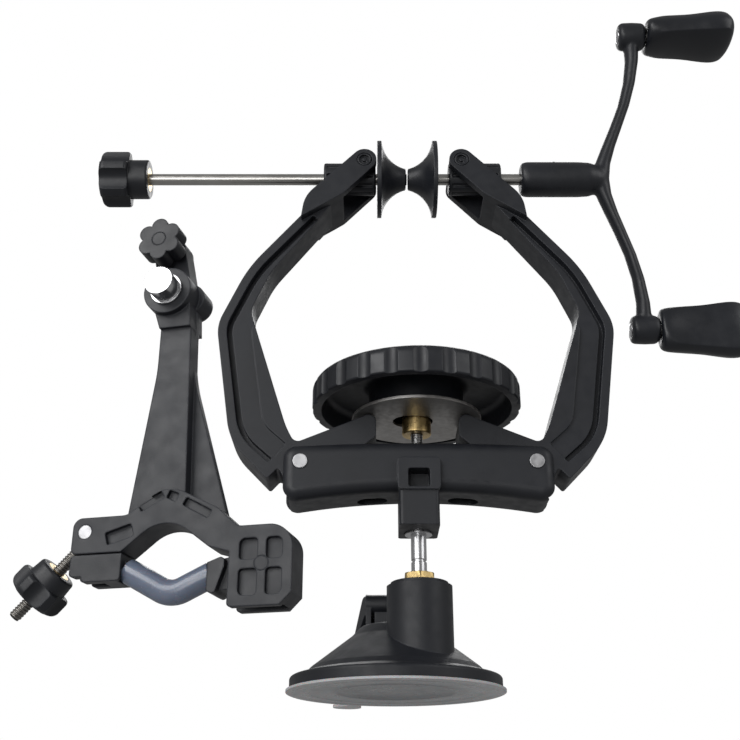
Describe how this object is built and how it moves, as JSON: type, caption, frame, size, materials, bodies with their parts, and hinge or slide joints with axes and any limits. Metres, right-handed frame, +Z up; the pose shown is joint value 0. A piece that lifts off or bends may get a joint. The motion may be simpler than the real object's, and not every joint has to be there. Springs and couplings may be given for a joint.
{
  "type": "fishing line winder",
  "caption": "Bench line winder on a suction foot: threaded wheel opens two forked arms that hold a reel between cones, with a crank; rod clamp beside it.",
  "frame": {"origin": "centre of the suction pad's flat underside", "axes": "+Z up the post towards the cones; +X along the spindles towards the crank; -Y towards the side the rod clamp stands on"},
  "size_m": [0.2851, 0.2223, 0.2953],
  "materials": {
    "charcoal_plastic": "satin moulded plastic with a fine grain",
    "steel": "plain turned steel",
    "nickel": "dull nickel plate",
    "brass": "turned brass",
    "chrome": "bright chrome plate",
    "clear_grey_rubber": "smoky translucent suction rubber",
    "dark_rubber": "soft dark rubber",
    "grey_silicone": "glossy blue-grey silicone"
  },
  "bodies": {
    "suction_base": {"suction_pad": "clear_grey_rubber", "base_housing": "charcoal_plastic", "post": "steel", "swivel_spigot": "charcoal_plastic", "thrust_ring": "steel", "brass_bush": "brass"},
    "stem": {"draw_yoke": "charcoal_plastic"},
    "lever": {"cam_lever": "charcoal_plastic", "lever_pin": "steel"},
    "head": {"crossbeam": "charcoal_plastic", "pivot_pins": "charcoal_plastic", "threaded_stud": "steel"},
    "press_disc": {"pressure_disc": "nickel"},
    "wheel": {"handwheel": "charcoal_plastic", "wheel_insert": "brass"},
    "left_lever": {"left_arm": "charcoal_plastic", "left_pivot_screw": "charcoal_plastic"},
    "right_lever": {"right_arm": "charcoal_plastic", "right_pivot_screw": "charcoal_plastic"},
    "left_block": {"left_holder": "charcoal_plastic", "left_bush": "charcoal_plastic"},
    "right_block": {"right_holder": "charcoal_plastic", "right_bush": "charcoal_plastic"},
    "left_spindle": {"left_rod": "steel", "left_cone": "charcoal_plastic", "left_knob": "charcoal_plastic", "left_knob_insert": "brass", "nip_tip": "dark_rubber"},
    "crank": {"crank_shaft": "steel", "right_cone": "charcoal_plastic", "crank_handle": "charcoal_plastic", "crank_set_screw": "steel", "grip_axles": "steel"},
    "upper_paddle": {"upper_grip": "charcoal_plastic"},
    "lower_paddle": {"lower_grip": "charcoal_plastic"},
    "rod_clamp": {"clamp_frame": "charcoal_plastic", "clamp_stub": "steel", "stub_ring": "chrome", "jaw_hinge_pin": "steel", "bolt_pin": "steel"},
    "lower_jaw": {"clamp_jaw": "charcoal_plastic", "jaw_sleeve": "grey_silicone"},
    "eye_bolt": {"swing_bolt": "steel"},
    "bolt_nut": {"knob_nut": "brass"},
    "bolt_grip": {"bolt_knob": "charcoal_plastic"},
    "star_stem": {"star_screw": "steel"},
    "star_grip": {"star_knob": "charcoal_plastic"}
  },
  "joints": [
    {"name": "stem_drop", "type": "slide", "parent": "suction_base", "child": "stem", "axis": [0, 0, -1], "range_m": [0, 0.0015]},
    {"name": "lever_turn", "type": "hinge", "parent": "stem", "child": "lever", "pos_m": [0, 0.0045, 0.0353], "axis": [1, 0, 0], "range_deg": [0, 80]},
    {"name": "head_swivel", "type": "hinge", "parent": "suction_base", "child": "head", "pos_m": [0.009, -0.015, 0.07], "axis": [0, 0, 1], "range_deg": [-90, 90]},
    {"name": "disc_lift", "type": "slide", "parent": "head", "child": "press_disc", "axis": [0, 0, 1], "range_m": [0, 0.01]},
    {"name": "wheel_spin", "type": "hinge", "parent": "press_disc", "child": "wheel", "pos_m": [0.009, -0.015, 0.1137], "axis": [0, 0, 1], "range_deg": [0, 4500]},
    {"name": "left_arm_swing", "type": "hinge", "parent": "head", "child": "left_lever", "pos_m": [-0.0369, -0.015, 0.0837], "axis": [0, -1, 0], "range_deg": [0, 20]},
    {"name": "right_arm_swing", "type": "hinge", "parent": "head", "child": "right_lever", "pos_m": [0.0549, -0.015, 0.0837], "axis": [0, 1, 0], "range_deg": [0, 20]},
    {"name": "left_block_tip", "type": "hinge", "parent": "left_lever", "child": "left_block", "pos_m": [-0.01225, -0.015, 0.2226], "axis": [0, 1, 0], "range_deg": [0, 20]},
    {"name": "right_block_tip", "type": "hinge", "parent": "right_lever", "child": "right_block", "pos_m": [0.03025, -0.015, 0.2226], "axis": [0, -1, 0], "range_deg": [0, 20]},
    {"name": "left_spindle_spin", "type": "hinge", "parent": "left_block", "child": "left_spindle", "pos_m": [-0.019, -0.015, 0.2205], "axis": [1, 0, 0], "continuous": true},
    {"name": "crank_spin", "type": "hinge", "parent": "right_block", "child": "crank", "pos_m": [0.037, -0.015, 0.2205], "axis": [1, 0, 0], "continuous": true},
    {"name": "upper_grip_spin", "type": "hinge", "parent": "crank", "child": "upper_paddle", "pos_m": [0.129, -0.03052, 0.28773], "axis": [1, 0, 0], "continuous": true},
    {"name": "lower_grip_spin", "type": "hinge", "parent": "crank", "child": "lower_paddle", "pos_m": [0.129, 0.00052, 0.15327], "axis": [1, 0, 0], "continuous": true},
    {"name": "clamp_shift", "type": "slide", "parent": "suction_base", "child": "rod_clamp", "axis": [0, -1, 0], "range_m": [0, 0.12]},
    {"name": "jaw_swing", "type": "hinge", "parent": "rod_clamp", "child": "lower_jaw", "pos_m": [-0.03495, -0.16209, 0.0102], "axis": [-0.2368, -0.9715, 0], "range_deg": [0, 20]},
    {"name": "bolt_swing", "type": "hinge", "parent": "rod_clamp", "child": "eye_bolt", "pos_m": [-0.0812, -0.15082, 0.0208], "axis": [0.2368, 0.9715, 0], "range_deg": [0, 60]},
    {"name": "nut_travel", "type": "slide", "parent": "eye_bolt", "child": "bolt_nut", "axis": [-0.687, 0.1675, -0.7071], "range_m": [0, 0.0032]},
    {"name": "nut_spin", "type": "hinge", "parent": "bolt_nut", "child": "bolt_grip", "pos_m": [-0.09219, -0.14814, 0.00949], "axis": [-0.687, 0.1675, -0.7071], "range_deg": [0, 1440]},
    {"name": "star_travel", "type": "slide", "parent": "rod_clamp", "child": "star_stem", "axis": [-0.2368, -0.9715, 0], "range_m": [0, 0.0024]},
    {"name": "star_spin", "type": "hinge", "parent": "star_stem", "child": "star_grip", "pos_m": [-0.06721, -0.15423, 0.1034], "axis": [-0.2368, -0.9715, 0], "range_deg": [0, 1080]}
  ],
  "couplings": [
    {"joint": "stem_drop", "follows": "lever_turn", "m_per_rad": 0.0010743},
    {"joint": "disc_lift", "follows": "wheel_spin", "m_per_rad": 0.00012732},
    {"joint": "left_arm_swing", "follows": "wheel_spin", "ratio": 0.0044444},
    {"joint": "right_arm_swing", "follows": "wheel_spin", "ratio": 0.0044444},
    {"joint": "left_block_tip", "follows": "wheel_spin", "ratio": 0.0044444},
    {"joint": "right_block_tip", "follows": "wheel_spin", "ratio": 0.0044444},
    {"joint": "nut_spin", "follows": "nut_travel", "rad_per_m": 7853.9},
    {"joint": "star_spin", "follows": "star_travel", "rad_per_m": 7853.9}
  ]
}
